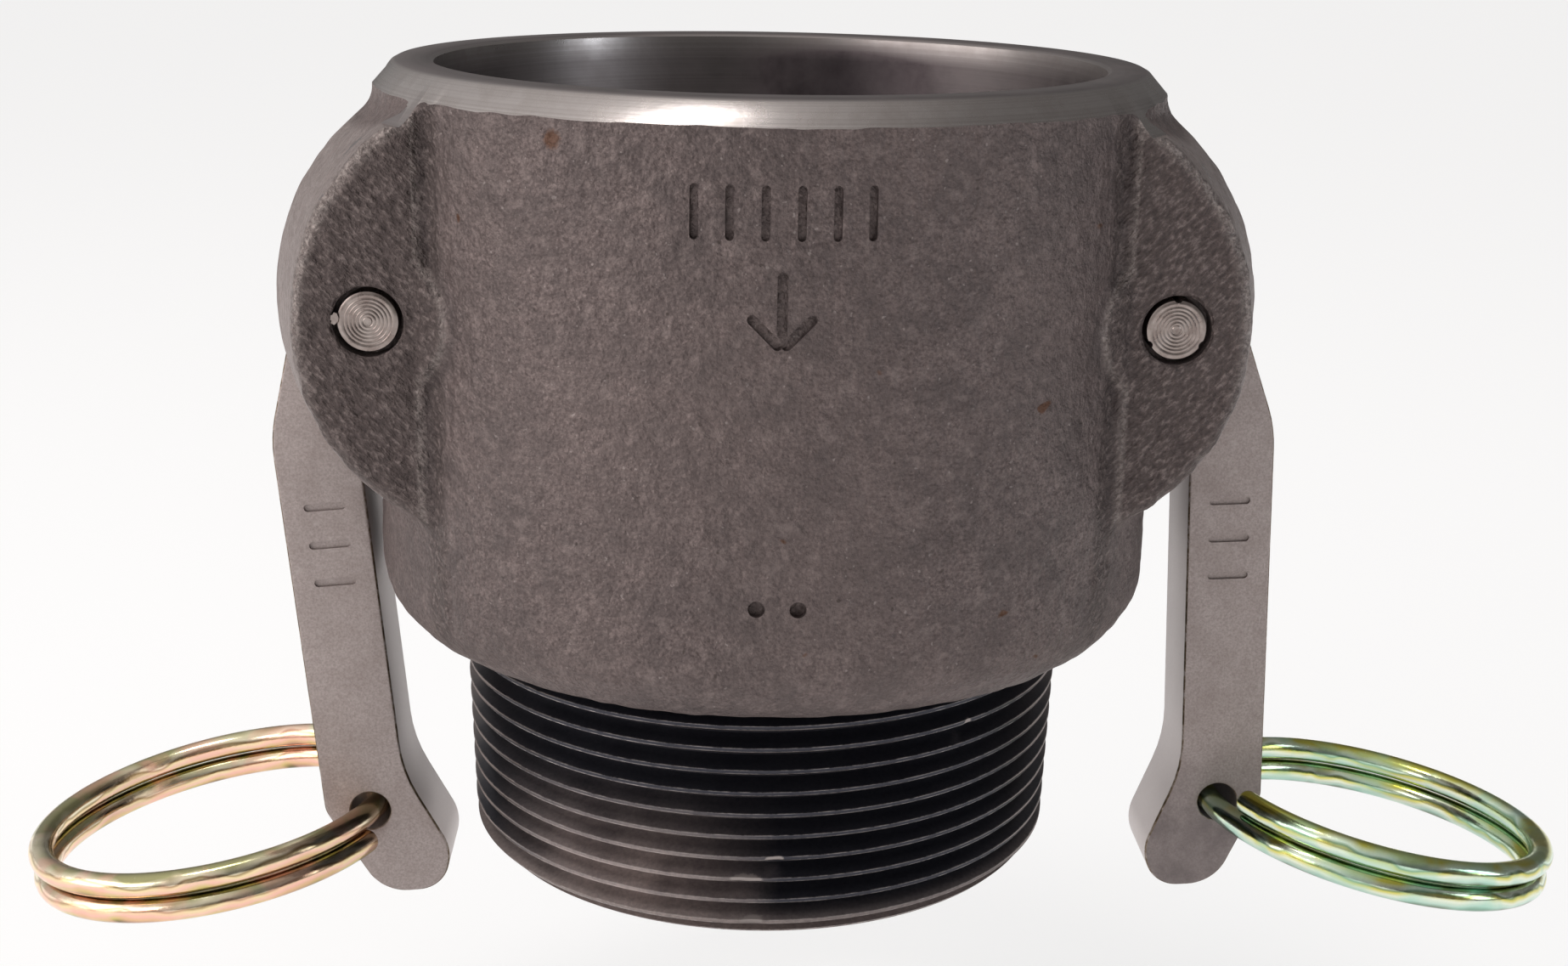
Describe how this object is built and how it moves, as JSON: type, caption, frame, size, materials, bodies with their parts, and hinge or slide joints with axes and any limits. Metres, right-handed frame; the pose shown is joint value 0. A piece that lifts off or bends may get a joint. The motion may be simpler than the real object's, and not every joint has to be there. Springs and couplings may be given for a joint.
{
  "type": "camlock coupling",
  "caption": "Quick coupling with a smooth socket, two hinged cam arms with pull rings, an inner gasket and a male taper pipe thread.",
  "frame": {"origin": "centre of the end face of the pipe thread, on the body's axis", "axes": "+Z along the body's axis, out of the socket; +X towards the right arm; -Y towards the viewer"},
  "size_m": [0.1621, 0.0776, 0.0869],
  "materials": {
    "body_casting": "shot-blasted casting with turned rim, socket and thread",
    "gasket_rubber": "matt moulded rubber",
    "arm_steel": "matt blasted steel",
    "pin_steel": "turned steel",
    "ring_zinc": "glossy zinc plate with a yellow passivate"
  },
  "bodies": {
    "coupling_body": {"body": "body_casting", "gasket": "gasket_rubber", "left_arm_pin": "pin_steel", "right_arm_pin": "pin_steel"},
    "left_arm": {"left_cam_arm": "arm_steel"},
    "right_arm": {"right_cam_arm": "arm_steel"},
    "left_ring": {"left_pull_ring": "ring_zinc"},
    "right_ring": {"right_pull_ring": "ring_zinc"}
  },
  "joints": [
    {"name": "left_arm_swing", "type": "hinge", "parent": "coupling_body", "child": "left_arm", "pos_m": [-0.0364, 0, 0.0573], "axis": [0, 1, 0], "range_deg": [-1, 112]},
    {"name": "right_arm_swing", "type": "hinge", "parent": "coupling_body", "child": "right_arm", "pos_m": [0.0364, 0, 0.0573], "axis": [0, -1, 0], "range_deg": [-8.9, 104]},
    {"name": "left_ring_swing", "type": "hinge", "parent": "left_arm", "child": "left_ring", "pos_m": [-0.04087, 0, 0.00125], "axis": [0, 1, 0], "range_deg": [-120, 79]},
    {"name": "right_ring_swing", "type": "hinge", "parent": "right_arm", "child": "right_ring", "pos_m": [0.04857, 0, 0.00241], "axis": [0, -1, 0], "range_deg": [-120, 87]}
  ]
}
